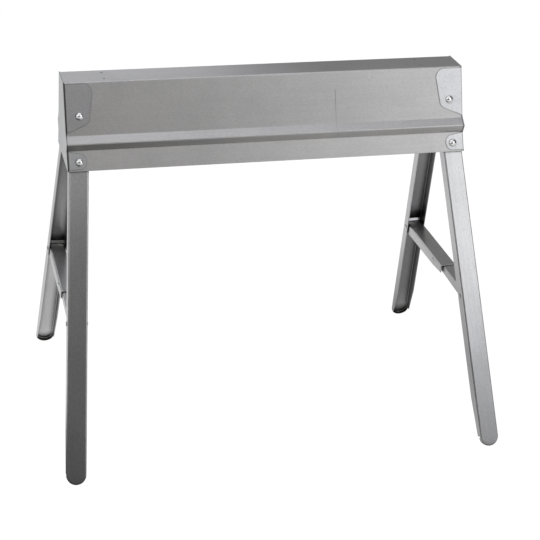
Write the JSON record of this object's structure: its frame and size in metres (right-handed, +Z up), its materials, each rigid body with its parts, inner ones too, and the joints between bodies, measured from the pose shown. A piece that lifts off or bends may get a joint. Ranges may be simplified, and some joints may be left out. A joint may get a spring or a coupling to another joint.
{
  "type": "folding builders trestle",
  "caption": "Folding steel builders trestle: a pressed beam with a flat nailing top, on leaning channel legs that fold up into the beam, with a knee-jointed spreader at each end.",
  "frame": {"origin": "on the ground under the middle of the beam, at the centre of the part's base", "axes": "+X along the beam to its right end, +Y across it to the back, away from the picture's viewer, +Z up"},
  "size_m": [0.928, 0.6718, 0.7599],
  "materials": {
    "beam_sheet": "rolled sheet, fine streaks along the beam",
    "plate_sheet": "bright pressed sheet",
    "leg_sheet": "rolled sheet, fine streaks along the leg",
    "link_sheet": "rolled sheet",
    "strap_steel": "bright strip",
    "ring_steel": "turned",
    "rivet_steel": "smooth domed heads"
  },
  "bodies": {
    "beam": {"beam_shell": "beam_sheet", "left_end_plate": "plate_sheet", "right_end_plate": "plate_sheet", "end_plate_rivets": "rivet_steel", "left_pivot_rivets": "rivet_steel", "right_pivot_rivets": "rivet_steel", "pivot_spacers": "ring_steel", "pivot_washers": "ring_steel"},
    "left_front_leg": {"left_front_leg": "leg_sheet", "left_front_stop_strap": "strap_steel", "left_front_link_rivet": "rivet_steel"},
    "left_back_leg": {"left_back_leg": "leg_sheet", "left_back_stop_strap": "strap_steel", "left_back_link_rivet": "rivet_steel"},
    "right_front_leg": {"right_front_leg": "leg_sheet", "right_front_stop_strap": "strap_steel", "right_front_link_rivet": "rivet_steel"},
    "right_back_leg": {"right_back_leg": "leg_sheet", "right_back_stop_strap": "strap_steel", "right_back_link_rivet": "rivet_steel"},
    "left_long_link": {"left_long_link": "link_sheet", "left_knee_rivets": "rivet_steel"},
    "left_short_link": {"left_short_link": "link_sheet"},
    "right_long_link": {"right_long_link": "link_sheet", "right_knee_rivets": "rivet_steel"},
    "right_short_link": {"right_short_link": "link_sheet"}
  },
  "joints": [
    {"name": "right_back_fold", "type": "hinge", "parent": "beam", "child": "right_back_leg", "pos_m": [0.397, 0.08522, 0.606], "axis": [0, 0.9205, 0.3907], "range_deg": [0, 92.5]},
    {"name": "right_front_fold", "type": "hinge", "parent": "beam", "child": "right_front_leg", "pos_m": [0.397, -0.08522, 0.606], "axis": [0, 0.9205, -0.3907], "range_deg": [0, 92.5]},
    {"name": "right_long_swing", "type": "hinge", "parent": "right_back_leg", "child": "right_long_link", "pos_m": [0.42096, 0.19456, 0.298], "axis": [-0.9977, 0, -0.0674], "range_deg": [0, 49.5]},
    {"name": "right_short_swing", "type": "hinge", "parent": "right_front_leg", "child": "right_short_link", "pos_m": [0.42096, -0.19456, 0.298], "axis": [0.9977, 0, 0.0674], "range_deg": [0, 49.5]},
    {"name": "left_back_fold", "type": "hinge", "parent": "beam", "child": "left_back_leg", "pos_m": [-0.397, 0.08522, 0.606], "axis": [0, -0.9205, -0.3907], "range_deg": [0, 103]},
    {"name": "left_front_fold", "type": "hinge", "parent": "beam", "child": "left_front_leg", "pos_m": [-0.397, -0.08522, 0.606], "axis": [0, -0.9205, 0.3907], "range_deg": [0, 103]},
    {"name": "left_long_swing", "type": "hinge", "parent": "left_back_leg", "child": "left_long_link", "pos_m": [-0.42096, 0.19456, 0.298], "axis": [-0.9977, 0, 0.0674], "range_deg": [0, 55.1]},
    {"name": "left_short_swing", "type": "hinge", "parent": "left_front_leg", "child": "left_short_link", "pos_m": [-0.42096, -0.19456, 0.298], "axis": [0.9977, 0, -0.0674], "range_deg": [0, 55.1]}
  ],
  "couplings": [
    {"joint": "right_front_fold", "follows": "right_back_fold", "ratio": 1},
    {"joint": "right_long_swing", "follows": "right_back_fold", "ratio": 0.53},
    {"joint": "right_short_swing", "follows": "right_back_fold", "ratio": 0.53},
    {"joint": "left_front_fold", "follows": "left_back_fold", "ratio": 1},
    {"joint": "left_long_swing", "follows": "left_back_fold", "ratio": 0.53},
    {"joint": "left_short_swing", "follows": "left_back_fold", "ratio": 0.53}
  ]
}
